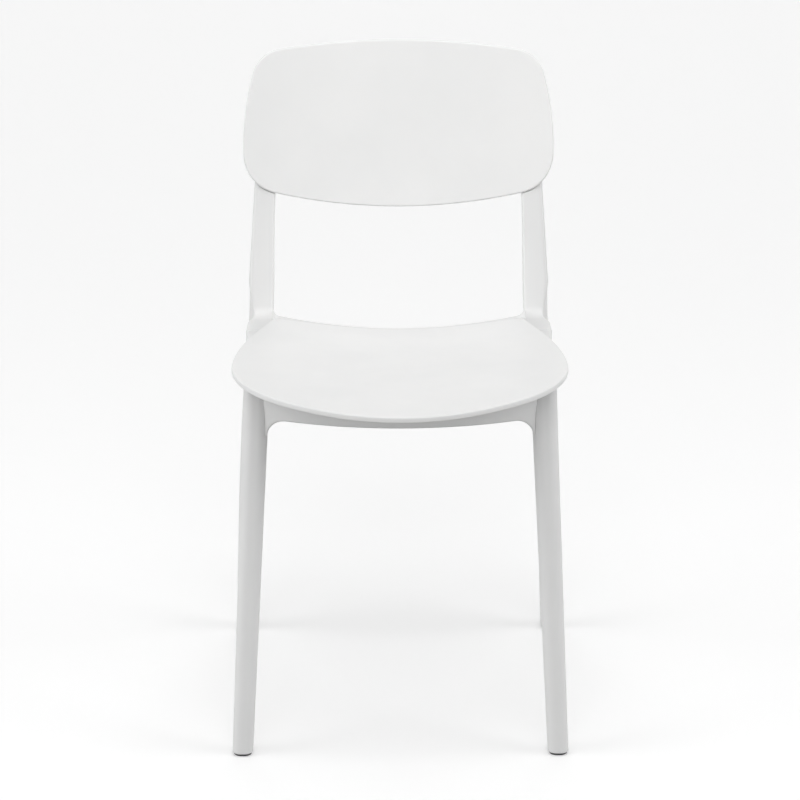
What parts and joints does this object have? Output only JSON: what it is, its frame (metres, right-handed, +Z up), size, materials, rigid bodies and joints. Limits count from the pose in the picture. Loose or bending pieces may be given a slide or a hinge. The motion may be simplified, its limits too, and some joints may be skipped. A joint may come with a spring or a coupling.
{
  "type": "stacking chair",
  "caption": "Armless stacking chair with a rounded dished seat, a wide curved back panel on two posts, and slim splayed legs, all in white moulded plastic.",
  "frame": {"origin": "on the floor, under the middle of the chair's outline box", "axes": "+Z up, -Y towards the front edge of the seat (the way the sitter faces), +X to the sitter's left"},
  "size_m": [0.4518, 0.5054, 0.82],
  "materials": {
    "seat_plastic": "fine matt grain",
    "back_plastic": "fine matt grain",
    "frame_plastic": "satin",
    "cap_plastic": "satin",
    "glide": "matt",
    "pad": "matt",
    "screw_steel": "zinc plated"
  },
  "bodies": {
    "root": {"seat_shell": "seat_plastic", "backrest_shell": "back_plastic", "front_apron": "frame_plastic", "rear_rail": "frame_plastic", "left_front_leg": "frame_plastic", "right_front_leg": "frame_plastic", "left_rear_leg": "frame_plastic", "right_rear_leg": "frame_plastic", "left_side_rail": "frame_plastic", "right_side_rail": "frame_plastic", "left_front_glide": "glide", "right_front_glide": "glide", "left_rear_glide": "glide", "right_rear_glide": "glide", "left_front_stacking_pad": "pad", "right_front_stacking_pad": "pad", "left_rear_stacking_pad": "pad", "right_rear_stacking_pad": "pad", "side_rail_screws": "screw_steel", "apron_screws": "screw_steel", "rear_rail_screws": "screw_steel", "seat_screws": "screw_steel", "backrest_screws": "screw_steel", "backrest_screw_caps": "cap_plastic"}
  },
  "joints": []
}
